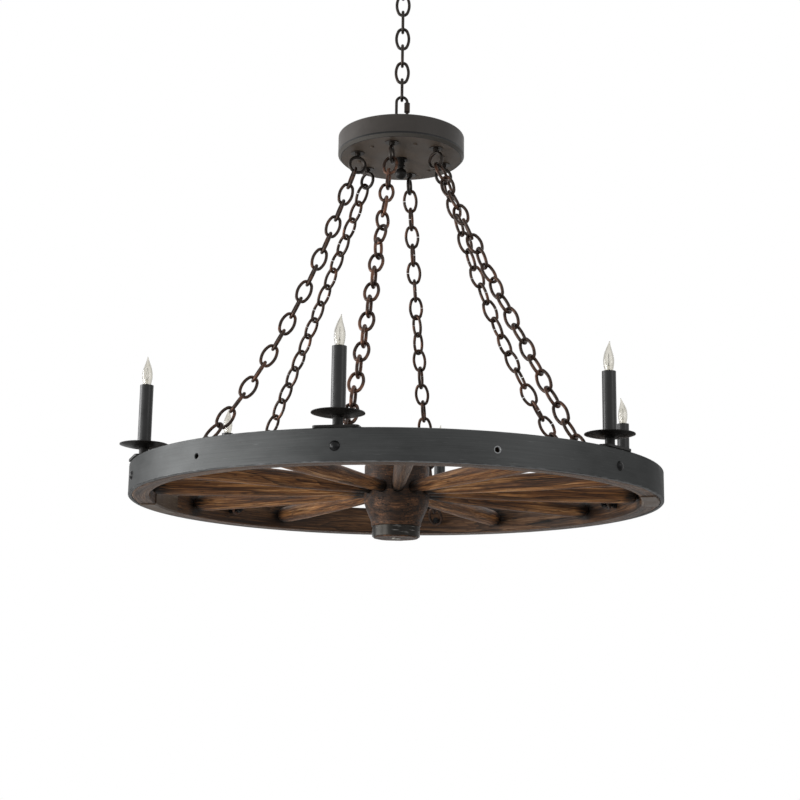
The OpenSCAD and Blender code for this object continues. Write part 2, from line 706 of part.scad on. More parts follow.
// Threaded tube from under the plate to the socket, the way in for the wires
module candle_nipples() {
  color("#7d776c") at_candles() translate([candle_r, 0, nipple_bottom]) difference() {
    cylinder(d = nipple_d, h = nipple_top - nipple_bottom);
    translate([0, 0, -1]) cylinder(d = nipple_d - 3, h = far);
  }
}

module nipple_nuts() {
  color("#7d776c") at_candles() translate([candle_r, 0, rim_top - nipple_nut_h]) difference() {
    cylinder(r = nipple_nut_r, h = nipple_nut_h, $fn = 6);
    translate([0, 0, -1]) cylinder(d = nipple_d + 2 * fit_gap, h = nipple_nut_h + 2);
  }
}

module candle_necks() {
  r = neck_d / 2;
  bore = nipple_d / 2 + fit_gap;
  color("#1c1b1c") at_candles() translate([candle_r, 0, plate_top])
    rotate_extrude() polygon([
      [bore, 0], [r + 1.5, 0], [r + 1.5, 2], [r, 3.5], [r, neck_h - 2.5],
      [r + 1, neck_h - 1], [r + 1, neck_h], [bore, neck_h]
    ]);
}

// Dished drip pan with a flat floor and a raised edge
module drip_pans() {
  bore = nipple_d / 2 + fit_gap;
  flat_r = sleeve_d * 0.635;
  r = pan_d / 2;
  rise = pan_depth - pan_t;
  under = [for (k = [0:6]) let (t = k / 6) [flat_r + (r - flat_r) * t, rise * pow(t, 1.6)]];
  over = [for (k = [6:-1:0]) under[k] + [k == 6 ? -0.4 : 0, pan_t]];
  color("#1e1c1c") at_candles() translate([candle_r, 0, pan_z])
    rotate_extrude($fn = 96) polygon(concat([[bore, 0]], under, over, [[bore, pan_t]]));
}

module candle_sockets() {
  color("#15130f") at_candles() translate([candle_r, 0, socket_z]) difference() {
    union() {
      cylinder(d = socket_d - 4, h = socket_len);
      translate([0, 0, socket_len - 12]) cylinder(d = socket_d, h = 12);
      cylinder(d = socket_d, h = 8);
    }
    translate([0, 0, -1]) cylinder(d = nipple_d + 2 * fit_gap, h = 7.2);
    translate([0, 0, socket_len - cap_len - 3]) cylinder(d = cap_d + 2 * slip, h = far);
  }
}

module candle_sleeve(i) {
  color("#232325") rotate([0, 0, candle_bearing(i)]) translate([candle_r, 0, sleeve_z])
    difference() {
      cylinder(d = sleeve_d, h = sleeve_len);
      translate([0, 0, -1]) cylinder(d = sleeve_d - 2 * sleeve_wall, h = far);
    }
}

// Flame outline of the glass, radius against height above the socket, drawn in by inset
function flame(inset) =
  let (r = bulb_d / 2, neck_r = cap_d / 2 - 0.4, belly = bulb_show * 0.42, start = 0.5)
  concat(
    [[neck_r - inset, -neck_in + inset]],
    [for (k = [0:6]) let (t = k / 6)
      [neck_r + (r - neck_r) * pow(sin(90 * t), 0.6) - inset, start + (belly - start) * t]],
    [for (k = [1:8]) let (t = k / 8)
      [max(0.4, 1.5 + (r - 1.5) * (0.5 + 0.5 * cos(180 * pow(t, 1.05))) - inset),
       belly + (bulb_show - belly - 3) * t - (k == 8 ? inset : 0)]]);

module bulb_glass(i) {
  outer = flame(0);
  inner = flame(glass_t);
  tip_z = outer[len(outer) - 1][1];
  inner_top = inner[len(inner) - 2];
  color([0.9, 0.9, 0.9, 0.35]) rotate([0, 0, candle_bearing(i)])
    translate([candle_r, 0, socket_top]) difference() {
      union() {
        rotate_extrude() polygon(concat([[0, -neck_in]], outer, [[0, tip_z]]));
        translate([0, 0, tip_z]) rotate([0, 14, 0]) cylinder(r1 = 1.5, r2 = 0.7, h = 4);
      }
      rotate_extrude() polygon(concat([[0, inner[0][1]]],
        [for (k = [0:len(inner) - 2]) inner[k]], [[0, inner_top[1]]]));
    }
}

// Screw cap with its thread's crests, a shoulder ring and the foot contact
module bulb_cap(i) {
  color("#b9a26a") rotate([0, 0, candle_bearing(i)]) translate([candle_r, 0, cap_z]) {
    body = cap_len - neck_in;
    cylinder(d1 = cap_d - 3, d2 = cap_d - 1, h = 1.5);
    translate([0, 0, 1.5]) cylinder(d = cap_d - 1, h = body - 1.5);
    for (k = [0:3]) translate([0, 0, 2.5 + k * 2.6]) cylinder(d = cap_d, h = 1.3);
    translate([0, 0, -1.2]) cylinder(d = 5, h = 1.2);
  }
}

hanging_link(0);  // hanging_link_1
hanging_link(1);  // hanging_link_2
hanging_link(2);  // hanging_link_3
hanging_link(3);  // hanging_link_4
hanging_link(4);  // hanging_link_5
hanging_link(5);  // hanging_link_6
hanging_link(6);  // hanging_link_7
quick_link();
quick_link_nut();
canopy_loop();
canopy_stem();
stem_nuts();
canopy_pan();
canopy_cover();
backing_ring();
canopy_screws();
canopy_eyes();
eye_nuts();
finial();
stay_chain(0);  // stay_chain_1
stay_chain(1);  // stay_chain_2
stay_chain(2);  // stay_chain_3
stay_chain(3);  // stay_chain_4
stay_chain(4);  // stay_chain_5
stay_chain(5);  // stay_chain_6
tyre();
felloe_front();
felloe_back();
felloe_clips();
spokes();
hub();
hub_bands();
axle_bush();
tyre_bolts();
bolt_nuts();
candle_plates();
plate_screws();
candle_nipples();
nipple_nuts();
candle_necks();
drip_pans();
candle_sockets();
candle_sleeve(0);  // candle_sleeve_1
candle_sleeve(1);  // candle_sleeve_2
candle_sleeve(2);  // candle_sleeve_3
candle_sleeve(3);  // candle_sleeve_4
candle_sleeve(4);  // candle_sleeve_5
candle_sleeve(5);  // candle_sleeve_6
bulb_glass(0);  // bulb_glass_1
bulb_glass(1);  // bulb_glass_2
bulb_glass(2);  // bulb_glass_3
bulb_glass(3);  // bulb_glass_4
bulb_glass(4);  // bulb_glass_5
bulb_glass(5);  // bulb_glass_6
bulb_cap(0);  // bulb_cap_1
bulb_cap(1);  // bulb_cap_2
bulb_cap(2);  // bulb_cap_3
bulb_cap(3);  // bulb_cap_4
bulb_cap(4);  // bulb_cap_5
bulb_cap(5);  // bulb_cap_6
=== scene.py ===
# %% [markdown]
# # A wagon wheel chandelier
#
# The lamp is an old wooden wagon wheel with a steel tyre. It hangs on six stay chains from a round canopy,
# and the canopy hangs on one chain of links. Six electric candles stand on its rim. The construction is
# loaded first, as a fixed frame in metres. It brings the metal pieces at their true size. This lesson then
# carves the wood, blows the bulbs, and gives every surface the finish of the real thing.

# %% Load the frame
import math

import bpy
import mathutils
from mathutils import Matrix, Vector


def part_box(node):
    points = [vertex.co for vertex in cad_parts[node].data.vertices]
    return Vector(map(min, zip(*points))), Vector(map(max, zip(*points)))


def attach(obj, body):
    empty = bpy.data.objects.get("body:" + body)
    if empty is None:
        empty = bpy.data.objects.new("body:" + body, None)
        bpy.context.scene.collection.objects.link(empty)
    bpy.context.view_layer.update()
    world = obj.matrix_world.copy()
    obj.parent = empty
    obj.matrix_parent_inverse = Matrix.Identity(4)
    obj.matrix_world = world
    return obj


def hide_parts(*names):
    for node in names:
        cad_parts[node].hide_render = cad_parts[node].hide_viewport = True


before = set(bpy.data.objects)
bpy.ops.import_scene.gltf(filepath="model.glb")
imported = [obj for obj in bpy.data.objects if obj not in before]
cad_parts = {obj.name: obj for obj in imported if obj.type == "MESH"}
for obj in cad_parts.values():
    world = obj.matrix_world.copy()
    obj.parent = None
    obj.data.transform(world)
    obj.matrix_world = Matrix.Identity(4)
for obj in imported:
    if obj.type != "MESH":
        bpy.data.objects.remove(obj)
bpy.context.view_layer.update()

# %% [markdown]
# ## The camera
#
# The photograph was taken from a little below the wheel, about three and a half metres away, with the lens
# tilted up. A longer lens than usual keeps the far side of the wheel nearly as large as the near side. The
# camera is placed in real metres from the wheel's underside, so that it can be checked against a floor
# plan.

# %% Camera
MM = 0.001
wheel_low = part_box("tyre")[0][2]
lens_pixels = 1493.84
image_pixels = 800
tilt_up = math.radians(11.86)
turn_right = math.radians(0.44)
roll = math.radians(0.69)
eye = mathutils.Vector((0.0, -3.425, wheel_low - 0.468))

forward = mathutils.Vector((
    math.sin(turn_right) * math.cos(tilt_up),
    math.cos(turn_right) * math.cos(tilt_up),
    math.sin(tilt_up),
))
right = mathutils.Vector((math.cos(turn_right), -math.sin(turn_right), 0.0))
upward = right.cross(forward)
rolled_right = math.cos(roll) * right + math.sin(roll) * upward
rolled_up = math.cos(roll) * upward - math.sin(roll) * right

camera_data = bpy.data.cameras.new("camera")
camera_data.sensor_width = 36.0
camera_data.lens = lens_pixels / image_pixels * camera_data.sensor_width
camera_data.shift_x = -0.0113
camera_data.shift_y = -0.0020
camera_data.clip_end = 200.0
camera = bpy.data.objects.new("camera", camera_data)
camera.matrix_world = mathutils.Matrix((
    (rolled_right.x, rolled_up.x, -forward.x, eye.x),
    (rolled_right.y, rolled_up.y, -forward.y, eye.y),
    (rolled_right.z, rolled_up.z, -forward.z, eye.z),
    (0.0, 0.0, 0.0, 1.0),
))
bpy.context.scene.collection.objects.link(camera)
bpy.context.scene.camera = camera
print("camera: lens", round(camera_data.lens, 1), "mm")

# %% [markdown]
# ## Small helpers
#
# Colours are written as they are read from a screen, as sRGB hex values, and one function turns them into
# the linear values that Blender mixes light with. One more function adds a shader node with its settings
# and links, so that each material below reads as a list of what it is made of.

# %% Colour and node helpers


def colour(code):
    """An sRGB hex colour as Blender's linear red, green, blue and alpha."""
    parts = [int(code[i:i + 2], 16) / 255 for i in (1, 3, 5)]
    linear = [c / 12.92 if c <= 0.04045 else ((c + 0.055) / 1.055) ** 2.4 for c in parts]
    return (*linear, 1.0)


def add(tree, kind, links=None, values=None, stops=(), **settings):
    """Adds one shader node: settings are its properties, values its sockets' numbers, links its inputs.

    Stops are the (place, hex colour) pairs of a colour ramp.
    """
    node = tree.nodes.new(kind)
    for key, value in settings.items():
        setattr(node, key, value)
    for key, value in (values or {}).items():
        node.inputs[key].default_value = value
    for key, socket in (links or {}).items():
        tree.links.new(socket, node.inputs[key])
    while stops and len(node.color_ramp.elements) < len(stops):
        node.color_ramp.elements.new(0.5)
    for number, (place, code) in enumerate(stops):
        node.color_ramp.elements[number].position = place
        node.color_ramp.elements[number].color = colour(code)
    return node


def new_material(name, base, metallic=0.0, roughness=0.5, **more):
    """A material of one Principled shader with plain values. Returns material, tree and shader."""
    material = bpy.data.materials.new(name)
    material.use_nodes = True
    tree = material.node_tree
    shader = tree.nodes["Principled BSDF"]
    shader.inputs["Base Color"].default_value = colour(base)
    shader.inputs["Metallic"].default_value = metallic
    shader.inputs["Roughness"].default_value = roughness
    for key, value in more.items():
        shader.inputs[key.replace("_", " ")].default_value = value
    return material, tree, shader


def dress(names, material):
    """Gives CAD nodes their material."""
    for name in names:
        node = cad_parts[name]
        node.data.materials.clear()
        node.data.materials.append(material)


print("helpers ready")

# %% [markdown]
# ## Oiled walnut with open grain
#
# The wheel's wood is old, dark and dull with varnish. Its yearly rings show as dark lines that follow the
# stick and close into long loops where the surface cuts through them. Its pores are short black streaks,
# and here and there a drying crack or a knot opens. Wood could be painted on from three sides, but the
# grain must follow each spoke and run round the rim. So every wooden piece below carries two attributes:
# grain, its own coordinates in metres, with the first along the stick and the others measured from the
# heart of the tree, and a darkening from 0 to 1 that goes to 1 at the joints. There iron and old grease
# have blackened the wood, and shade is painted in where a spoke goes into the hub or a felloe. The pores
# of walnut are a fifth of a millimetre wide. They are drawn about two millimetres wide, because the camera
# would not see them otherwise.

# %% Wood material


def oiled_walnut(name, dark, middle, light, glow, ring_mm):
    """Open-grained wood. The four hex colours go from its late wood to the rubbed highlights."""
    material, tree, shader = new_material(name, middle, roughness=0.5, IOR=1.45, Specular_IOR_Level=0.22)
    grain = add(tree, "ShaderNodeAttribute", attribute_name="grain").outputs["Vector"]
    stain_and_shade = add(tree, "ShaderNodeAttribute", attribute_name="stain_and_shade").outputs["Fac"]

    def streaks(along_mm, across_mm, detail, roughness, distortion=0.0):
        """Noise whose marks are that long and wide on the wood."""
        scale = (1 / (along_mm * MM), 1 / (across_mm * MM), 1 / (across_mm * MM))
        stretched = add(tree, "ShaderNodeVectorMath", {0: grain}, {1: scale}, operation="MULTIPLY")
        noise = add(tree, "ShaderNodeTexNoise", {"Vector": stretched.outputs["Vector"]},
                    {"Scale": 1.0, "Detail": detail, "Roughness": roughness, "Distortion": distortion})
        return noise.outputs["Fac"]

    bands = streaks(260, 14, 3, 0.5, 0.5)
    lines = streaks(190, 2.6, 3, 0.6, 0.3)
    fibres = streaks(80, 1.2, 3, 0.7)
    pores = streaks(26, 1.6, 2, 0.5)
    cracks = streaks(230, 8.0, 3, 0.5, 0.25)
    knots = streaks(75, 24, 3, 0.55, 0.4)

    flat = add(tree, "ShaderNodeVectorMath", {0: grain}, {1: (0.02, 1, 1)}, operation="MULTIPLY")
    from_heart = add(tree, "ShaderNodeVectorMath", {0: flat.outputs["Vector"]}, operation="LENGTH")
    wander = add(tree, "ShaderNodeMath", {0: streaks(300, 34, 2, 0.5)}, {1: 3.2}, operation="MULTIPLY")
    rings = add(tree, "ShaderNodeMath", {0: from_heart.outputs["Value"], 2: wander.outputs["Value"]},
                {1: 1 / (ring_mm * MM)}, operation="MULTIPLY_ADD")
    year = add(tree, "ShaderNodeMath", {0: rings.outputs["Value"]}, operation="FRACT")
    late_wood = add(tree, "ShaderNodeMapRange", {"Value": year.outputs["Value"]},
                    {"From Min": 0.66, "From Max": 0.96, "To Max": 0.72}).outputs["Result"]

    mixed = add(tree, "ShaderNodeMix", {"A": bands, "B": lines}, {"Factor": 0.5}, data_type="FLOAT")
    mixed = add(tree, "ShaderNodeMix", {"A": mixed.outputs["Result"], "B": fibres}, {"Factor": 0.3},
                data_type="FLOAT")
    wood = add(tree, "ShaderNodeValToRGB", {"Fac": mixed.outputs["Result"]},
               stops=[(0.39, dark), (0.47, middle), (0.545, light), (0.62, glow)]).outputs["Color"]
    # The darkening at the joints is stain and painted shade, with ragged edges.
    ragged = add(tree, "ShaderNodeMath", {0: lines}, {1: 3.4, 2: -1.7}, operation="MULTIPLY_ADD")
    ragged = add(tree, "ShaderNodeMath", {0: stain_and_shade, 1: ragged.outputs["Value"]}, operation="ADD")
    layers = [(late_wood, dark)]
    for pattern, gain, offset, code in ((pores, -9.0, 3.7, dark), (cracks, -26.0, 8.9, "#0a0603"),
                                        (knots, 12.0, -8.2, "#120a05"),
                                        (ragged.outputs["Value"], 1.7, -0.5, "#0e0804")):
        mask = add(tree, "ShaderNodeMath", {0: pattern}, {1: gain, 2: offset}, operation="MULTIPLY_ADD",
                   use_clamp=True)
        layers.append((mask.outputs["Value"], code))
    for mask, code in layers:
        wood = add(tree, "ShaderNodeMix", {"A": wood, "Factor": mask}, {"B": colour(code)},
                   data_type="RGBA").outputs["Result"]
    tree.links.new(wood, shader.inputs["Base Color"])

    varnish = add(tree, "ShaderNodeMapRange", {"Value": fibres},
                  {"From Min": 0.3, "From Max": 0.7, "To Min": 0.62, "To Max": 0.4})
    tree.links.new(varnish.outputs["Result"], shader.inputs["Roughness"])

    pore_mask, crack_mask = layers[1][0], layers[2][0]
    height = add(tree, "ShaderNodeMath", {0: fibres, 1: pore_mask}, operation="SUBTRACT")
    height = add(tree, "ShaderNodeMath", {0: crack_mask, 2: height.outputs["Value"]}, {1: -3.0},
                 operation="MULTIPLY_ADD")
    bump = add(tree, "ShaderNodeBump", {"Height": height.outputs["Value"]},
               {"Strength": 0.75, "Distance": 0.7 * MM})
    tree.links.new(bump.outputs["Normal"], shader.inputs["Normal"])
    return material


spoke_wood = oiled_walnut("oiled_walnut_spokes", "#221308", "#50311a", "#855a33", "#b88c5f", ring_mm=7.0)
felloe_and_shaded_spoke_wood = oiled_walnut("oiled_walnut_felloes", "#1b110a", "#3a2617", "#5c4029", "#7f634a", ring_mm=6.0)
hub_wood = oiled_walnut("oiled_walnut_hub", "#0b0704", "#2c1c12", "#4c3321", "#7c553a", ring_mm=6.5)
print("wood: three tones of walnut")

# %% [markdown]
# ## Steel, bronze and paint
#
# The tyre is plain rolled steel that was brushed round the wheel and left to darken. That gives it a grey,
# long soft reflections along the rim, and bright nicks where it was knocked. The chains, eyes and links are
# steel wire with an oil-rubbed bronze finish, worn to copper and rust on the stays, and most on the one in
# front. The canopy has a bronze powder coat and its cover a browner one, with shade painted into the seams
# where the two meet. The candle parts are dipped in black satin lacquer.

# %% Metal materials
wheel_radius = 0.61
first_bolt = -161.4
bolt_rise = 31 * MM


def around(tree, radius=wheel_radius):
    """Object coordinates unrolled round the wheel's axis: (arc length, distance from the axis, height)."""
    place = add(tree, "ShaderNodeTexCoord").outputs["Object"]
    axes = add(tree, "ShaderNodeSeparateXYZ", {"Vector": place})
    angle = add(tree, "ShaderNodeMath", {0: axes.outputs["Y"], 1: axes.outputs["X"]}, operation="ARCTAN2")
    flat = add(tree, "ShaderNodeVectorMath", {0: place}, {1: (1, 1, 0)}, operation="MULTIPLY")
    distance = add(tree, "ShaderNodeVectorMath", {0: flat.outputs["Vector"]}, operation="LENGTH")
    arc = add(tree, "ShaderNodeMath", {0: angle.outputs["Value"]}, {1: radius}, operation="MULTIPLY")
    return add(tree, "ShaderNodeCombineXYZ", {"X": arc.outputs["Value"], "Y": distance.outputs["Value"],
                                              "Z": axes.outputs["Z"]}).outputs["Vector"]


def noise_of(tree, place, size_mm, detail, roughness, stretch=(1, 1, 1)):
    """Noise with marks of that size in millimetres, drawn out by stretch."""
    scale = tuple(1 / (size_mm * MM * s) for s in stretch)
    scaled = add(tree, "ShaderNodeVectorMath", {0: place}, {1: scale}, operation="MULTIPLY")
    return add(tree, "ShaderNodeTexNoise", {"Vector": scaled.outputs["Vector"]},
               {"Scale": 1.0, "Detail": detail, "Roughness": roughness}).outputs["Fac"]


def brushed_steel(name, dark, light, rust, roughness, metallic=0.85, rubbed=None, rubbed_from=0.62,
                  edge_tint="#ffffff", radius=wheel_radius):
    """Steel brushed round the wheel and darkened by age. Rubbed is the bare metal of its scratches."""
    material, tree, shader = new_material(name, dark, metallic=metallic, roughness=roughness,
                                          Specular_Tint=colour(edge_tint))
    place = around(tree, radius)
    brush = noise_of(tree, place, 2.2, 3, 0.6, (60, 1, 1))
    clouds = noise_of(tree, place, 45, 5, 0.6, (2.2, 1, 1))
    tone = add(tree, "ShaderNodeMix", {"A": clouds, "B": brush}, {"Factor": 0.35}, data_type="FLOAT")
    steel = add(tree, "ShaderNodeValToRGB", {"Fac": tone.outputs["Result"]},
                stops=[(0.32, dark), (0.68, light)]).outputs["Color"]
    layers = []
    if rubbed:
        layers.append((noise_of(tree, place, 1.6, 2, 0.5, (22, 1, 1)), rubbed_from, 0.08, 0.8, rubbed))
    layers.append((noise_of(tree, place, 9, 6, 0.7, (1.6, 1, 1)), 0.64, 0.1, 0.6, rust))
    for pattern, start, width, most, code in layers:
        mask = add(tree, "ShaderNodeMapRange", {"Value": pattern},
                   {"From Min": start, "From Max": start + width, "To Max": most})
        steel = add(tree, "ShaderNodeMix", {"A": steel, "Factor": mask.outputs["Result"]},
                    {"B": colour(code)}, data_type="RGBA").outputs["Result"]
    tree.links.new(steel, shader.inputs["Base Color"])
    rough = add(tree, "ShaderNodeMapRange", {"Value": clouds},
                {"From Min": 0.3, "From Max": 0.7, "To Min": roughness - 0.08, "To Max": roughness + 0.12})
    tree.links.new(rough.outputs["Result"], shader.inputs["Roughness"])
    bump = add(tree, "ShaderNodeBump", {"Height": brush}, {"Strength": 0.2, "Distance": 0.1 * MM})
    tree.links.new(bump.outputs["Normal"], shader.inputs["Normal"])
    return material


def repaint(material, mask, code):
    """Lays one more colour over a finished material's own, where the mask is 1."""
    tree = material.node_tree
    base = tree.nodes["Principled BSDF"].inputs["Base Color"]
    painted_over = add(tree, "ShaderNodeMix", {"A": base.links[0].from_socket, "Factor": mask},
                       {"B": colour(code)}, data_type="RGBA")
    tree.links.new(painted_over.outputs["Result"], base)


def worn_edges_and_hole_highlight(material, low, high, hole_arc, hole_height, code):
    """Rubs a steel band to bare metal along its two edges, and paints a highlight round one hole."""
    tree = material.node_tree
    place = around(tree)
    height = add(tree, "ShaderNodeSeparateXYZ", {"Vector": place}).outputs["Z"]
    knocks = noise_of(tree, place, 7, 4, 0.65, (3, 1, 1))
    middle, half = (low + high) / 2, (high - low) / 2
    off = add(tree, "ShaderNodeMath", {0: height}, {1: middle}, operation="SUBTRACT")
    off = add(tree, "ShaderNodeMath", {0: off.outputs["Value"]}, operation="ABSOLUTE")
    worn_by = add(tree, "ShaderNodeMath", {0: knocks, 2: off.outputs["Value"]}, {1: 5.5 * MM},
                  operation="MULTIPLY_ADD")
    edge = add(tree, "ShaderNodeMapRange", {"Value": worn_by.outputs["Value"]},
               {"From Min": half + 1.0 * MM, "From Max": half + 3.0 * MM, "To Max": 0.7})
    centre = add(tree, "ShaderNodeVectorMath", {0: place}, {1: (hole_arc, 0, hole_height)},
                 operation="SUBTRACT")
    flat = add(tree, "ShaderNodeVectorMath", {0: centre.outputs["Vector"]}, {1: (1, 0, 1)},
               operation="MULTIPLY")
    reach = add(tree, "ShaderNodeVectorMath", {0: flat.outputs["Vector"]}, operation="LENGTH")
    # A painted highlight in a thin ring round one hole.
    hole_highlight = add(tree, "ShaderNodeMapRange", {"Value": reach.outputs["Value"]},
               {"From Min": 7.6 * MM, "From Max": 7.2 * MM, "To Max": 0.9})
    wear_and_highlight = add(tree, "ShaderNodeMath", {0: edge.outputs["Result"], 1: hole_highlight.outputs["Result"]},
               operation="MAXIMUM")
    repaint(material, wear_and_highlight.outputs["Value"], code)


def coloured_band(material, axis, low, high, code):
    """Colours one band of a round piece: Y measures from the wheel's axis and Z measures height."""
    tree = material.node_tree
    measure = add(tree, "ShaderNodeSeparateXYZ", {"Vector": around(tree)}).outputs[axis]
    inside = add(tree, "ShaderNodeMath", {0: measure}, {1: (low + high) / 2, 2: (high - low) / 2},
                 operation="COMPARE")
    repaint(material, inside.outputs["Value"], code)


def rubbed_bronze(name, dark, light, worn, metallic=0.7, roughness=0.42, wear=0.62):
    """Dark finish on steel wire, rubbed through to copper and rust where links chafe."""
    material, tree, shader = new_material(name, dark, metallic=metallic, roughness=roughness)
    place = add(tree, "ShaderNodeTexCoord").outputs["Object"]
    patches = noise_of(tree, place, 26, 4, 0.6)
    grains = noise_of(tree, place, 2.5, 3, 0.6)
    base = add(tree, "ShaderNodeValToRGB", {"Fac": grains}, stops=[(0.35, dark), (0.65, light)])
    worn_mask = add(tree, "ShaderNodeMapRange", {"Value": patches},
                    {"From Min": wear - 0.1, "From Max": wear + 0.08, "To Max": 0.85})
    tint = add(tree, "ShaderNodeMix", {"A": base.outputs["Color"], "Factor": worn_mask.outputs["Result"]},
               {"B": colour(worn)}, data_type="RGBA")
    tree.links.new(tint.outputs["Result"], shader.inputs["Base Color"])
    bump = add(tree, "ShaderNodeBump", {"Height": grains}, {"Strength": 0.3, "Distance": 0.15 * MM})
    tree.links.new(bump.outputs["Normal"], shader.inputs["Normal"])
    return material


def painted(name, dark, light, roughness, grain_mm=1.2, depth_mm=0.1, patch_mm=40, gloss=0.3):
    """Sprayed or dipped paint on metal, with a fine orange peel and slow changes of tone."""
    material, tree, shader = new_material(name, dark, roughness=roughness, IOR=1.5,
                                          Specular_IOR_Level=gloss)
    place = add(tree, "ShaderNodeTexCoord").outputs["Object"]
    slow = noise_of(tree, place, patch_mm, 4, 0.6)
    peel = noise_of(tree, place, grain_mm, 3, 0.6)
    tone = add(tree, "ShaderNodeValToRGB", {"Fac": slow}, stops=[(0.3, dark), (0.7, light)])
    tree.links.new(tone.outputs["Color"], shader.inputs["Base Color"])
    rough = add(tree, "ShaderNodeMapRange", {"Value": slow},
                {"From Min": 0.3, "From Max": 0.7, "To Min": roughness - 0.06, "To Max": roughness + 0.1})
    tree.links.new(rough.outputs["Result"], shader.inputs["Roughness"])
    bump = add(tree, "ShaderNodeBump", {"Height": peel}, {"Strength": 0.4, "Distance": depth_mm * MM})
    tree.links.new(bump.outputs["Normal"], shader.inputs["Normal"])
    return material


tyre_steel = brushed_steel("rolled_steel_tyre", "#353636", "#454646", "#2e2620", 0.44,
                           rubbed="#525353", rubbed_from=0.68, edge_tint="#a4a4a4")
hole_bearing = math.radians(first_bolt + 90)
# Bare metal along the tyre's edges, and a painted highlight round one hole.
worn_edges_and_hole_highlight(tyre_steel, wheel_low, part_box("tyre")[1][2], wheel_radius * hole_bearing, wheel_low + bolt_rise,
           "#848586")
band_steel = brushed_steel("forged_iron_band", "#242322", "#35332f", "#2a1f18", 0.3, rubbed="#a7a5a2",
                           rubbed_from=0.66, radius=0.055)
clip_steel = brushed_steel("folded_steel_clip", "#40332a", "#5a4c3e", "#33251b", 0.5, metallic=0.15,
                           rubbed="#75685c", edge_tint="#8a8a8a")
zinc = brushed_steel("zinc_plated_steel", "#77756f", "#98958e", "#5c5852", 0.4)
top_bronze = rubbed_bronze("oil_rubbed_bronze", "#1d1916", "#2b2520", "#33261e")
stay_bronze = rubbed_bronze("worn_bronze_stays", "#221913", "#382a22", "#583a2a", wear=0.6)
front_bronze = rubbed_bronze("coppery_bronze_stay", "#231913", "#3d2c23", "#6a4836", wear=0.55)
brass = rubbed_bronze("bright_brass", "#a48548", "#bb9d5c", "#8b6c38", metallic=1.0, roughness=0.3,
                      wear=0.7)
canopy_paint = painted("bronze_powder_coat", "#322e2b", "#3a3633", 0.45, 1.6, 0.15, gloss=0.25)
cover_paint = painted("brown_cover_coat", "#372e26", "#4c4137", 0.5, 2.0, 0.15, patch_mm=70)
lacquer = painted("black_satin_lacquer", "#0d0c0b", "#151311", 0.4, gloss=0.16)
sleeve_black = painted("black_moulded_sleeve", "#161616", "#1e1e1e", 0.34, 3.0, 0.06)
bolt_black = painted("blackened_bolt", "#0b0b0c", "#141415", 0.3, gloss=0.16)
phenolic = painted("moulded_phenolic", "#0f0d0b", "#16130f", 0.6)

pan_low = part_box("canopy_pan")[0][2]
cover_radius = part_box("canopy_cover")[1][0]
bevel_tone, painted_seam_shade = "#3a3733", "#040404"
coloured_band(cover_paint, "Y", cover_radius - 6.6 * MM, cover_radius + 1 * MM, bevel_tone)
# The dark bands at the seams between cover and pan are painted shade.
coloured_band(cover_paint, "Y", cover_radius - 7.8 * MM, cover_radius - 5.8 * MM, painted_seam_shade)
coloured_band(cover_paint, "Z", pan_low - 2.0 * MM, pan_low + 9 * MM, painted_seam_shade)
coloured_band(canopy_paint, "Z", pan_low - 1 * MM, pan_low + 2.4 * MM, painted_seam_shade)
print("metals and paints ready")

# %% [markdown]
# ## Dress the metal
#
# The metal pieces came with the frame in their true shape, so they only need their finish.

# %% Dress the frame's own pieces
six = range(1, 7)
dress([f"hanging_link_{i}" for i in range(1, 8)], top_bronze)
dress(["quick_link", "quick_link_nut", "canopy_loop"], top_bronze)
dress([f"stay_chain_{i}" for i in six], stay_bronze)
dress(["stay_chain_2"], front_bronze)
dress(["canopy_eyes", "eye_nuts"], top_bronze)
dress(["canopy_pan"], canopy_paint)
dress(["canopy_cover", "canopy_screws"], cover_paint)
dress(["finial", "candle_plates", "plate_screws", "candle_necks", "drip_pans"], lacquer)
dress(["canopy_stem", "stem_nuts", "backing_ring", "candle_nipples", "nipple_nuts", "axle_bush"], zinc)
dress(["tyre"], tyre_steel)
dress(["hub_bands"], band_steel)
dress(["felloe_clips"], clip_steel)
dress(["tyre_bolts", "bolt_nuts"], bolt_black)
dress(["candle_sockets"], phenolic)
dress([f"candle_sleeve_{i}" for i in six], sleeve_black)
dress([f"bulb_cap_{i}" for i in six], brass)
print("dressed the metal nodes")

# %% [markdown]
# ## Carving a stick by extruding
#
# Spokes and hub were turned on a lathe. A lathe shape could be spun from an outline, but a hand-shaved
# spoke is not quite round, and its section changes along its length. So a ring of points is extruded from
# station to station, and each new ring is scaled to the stick's width and thickness there. The wear is a
# displacement by soft noise. The noise is measured by an empty that is stretched along the grain, so that
# the hollows come out long and narrow, as a drawknife leaves them.

# %% Modelling helpers


def only(piece):
    """Selects that piece alone."""
    bpy.ops.object.select_all(action="DESELECT")
    piece.select_set(True)
    bpy.context.view_layer.objects.active = piece


def apply_modifier(piece, kind, **settings):
    """Adds one modifier with its settings and applies it."""
    only(piece)
    modifier = piece.modifiers.new(kind.lower(), kind)
    for key, value in settings.items():
        setattr(modifier, key, value)
    bpy.ops.object.modifier_apply(modifier=modifier.name)


